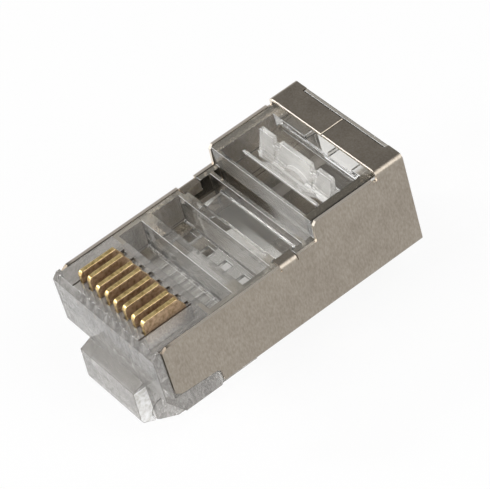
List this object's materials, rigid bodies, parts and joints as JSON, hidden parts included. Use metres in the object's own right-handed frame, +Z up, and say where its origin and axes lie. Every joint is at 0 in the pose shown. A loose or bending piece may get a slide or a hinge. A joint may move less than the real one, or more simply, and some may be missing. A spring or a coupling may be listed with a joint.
{
  "type": "shielded modular plug",
  "caption": "Shielded modular data plug, uncrimped: clear housing with sprung latch, gilt blade contacts, cable clamp bar and folded metal shield.",
  "frame": {"origin": "where the centre plane, the plane of the nose face and the plane of the shield's underside meet", "axes": "+X across the plug, +Y from the nose to the cable end, +Z up through the contacts"},
  "size_m": [0.0116, 0.0225, 0.0113],
  "materials": {
    "clear_plastic": "clear, smooth polycarbonate",
    "plated_sheet": "dull nickel plating on rolled sheet",
    "gilt": "thin bright gold plating"
  },
  "bodies": {
    "housing_body": {"housing": "clear_plastic", "shield": "plated_sheet"},
    "latch": {"latch": "clear_plastic"},
    "clamp_bar": {"cable_clamp_bar": "clear_plastic"},
    "contact_1": {"contact_1": "gilt"},
    "contact_2": {"contact_2": "gilt"},
    "contact_3": {"contact_3": "gilt"},
    "contact_4": {"contact_4": "gilt"},
    "contact_5": {"contact_5": "gilt"},
    "contact_6": {"contact_6": "gilt"},
    "contact_7": {"contact_7": "gilt"},
    "contact_8": {"contact_8": "gilt"}
  },
  "joints": [
    {"name": "latch_spring", "type": "hinge", "parent": "housing_body", "child": "latch", "pos_m": [0, 0.00075, -0.00141], "axis": [1, 0, 0], "range_deg": [0, 10], "stiffness_Nm_per_rad": 0.2},
    {"name": "clamp_bar_hinge", "type": "hinge", "parent": "housing_body", "child": "clamp_bar", "pos_m": [0, 0.01745, 0.00588], "axis": [1, 0, 0], "range_deg": [0, 22]},
    {"name": "contact_1_crimp", "type": "slide", "parent": "housing_body", "child": "contact_1", "axis": [0, 0, -1], "range_m": [0, 0.0009]},
    {"name": "contact_2_crimp", "type": "slide", "parent": "housing_body", "child": "contact_2", "axis": [0, 0, -1], "range_m": [0, 0.0009]},
    {"name": "contact_3_crimp", "type": "slide", "parent": "housing_body", "child": "contact_3", "axis": [0, 0, -1], "range_m": [0, 0.0009]},
    {"name": "contact_4_crimp", "type": "slide", "parent": "housing_body", "child": "contact_4", "axis": [0, 0, -1], "range_m": [0, 0.0009]},
    {"name": "contact_5_crimp", "type": "slide", "parent": "housing_body", "child": "contact_5", "axis": [0, 0, -1], "range_m": [0, 0.0009]},
    {"name": "contact_6_crimp", "type": "slide", "parent": "housing_body", "child": "contact_6", "axis": [0, 0, -1], "range_m": [0, 0.0009]},
    {"name": "contact_7_crimp", "type": "slide", "parent": "housing_body", "child": "contact_7", "axis": [0, 0, -1], "range_m": [0, 0.0009]},
    {"name": "contact_8_crimp", "type": "slide", "parent": "housing_body", "child": "contact_8", "axis": [0, 0, -1], "range_m": [0, 0.0009]}
  ]
}
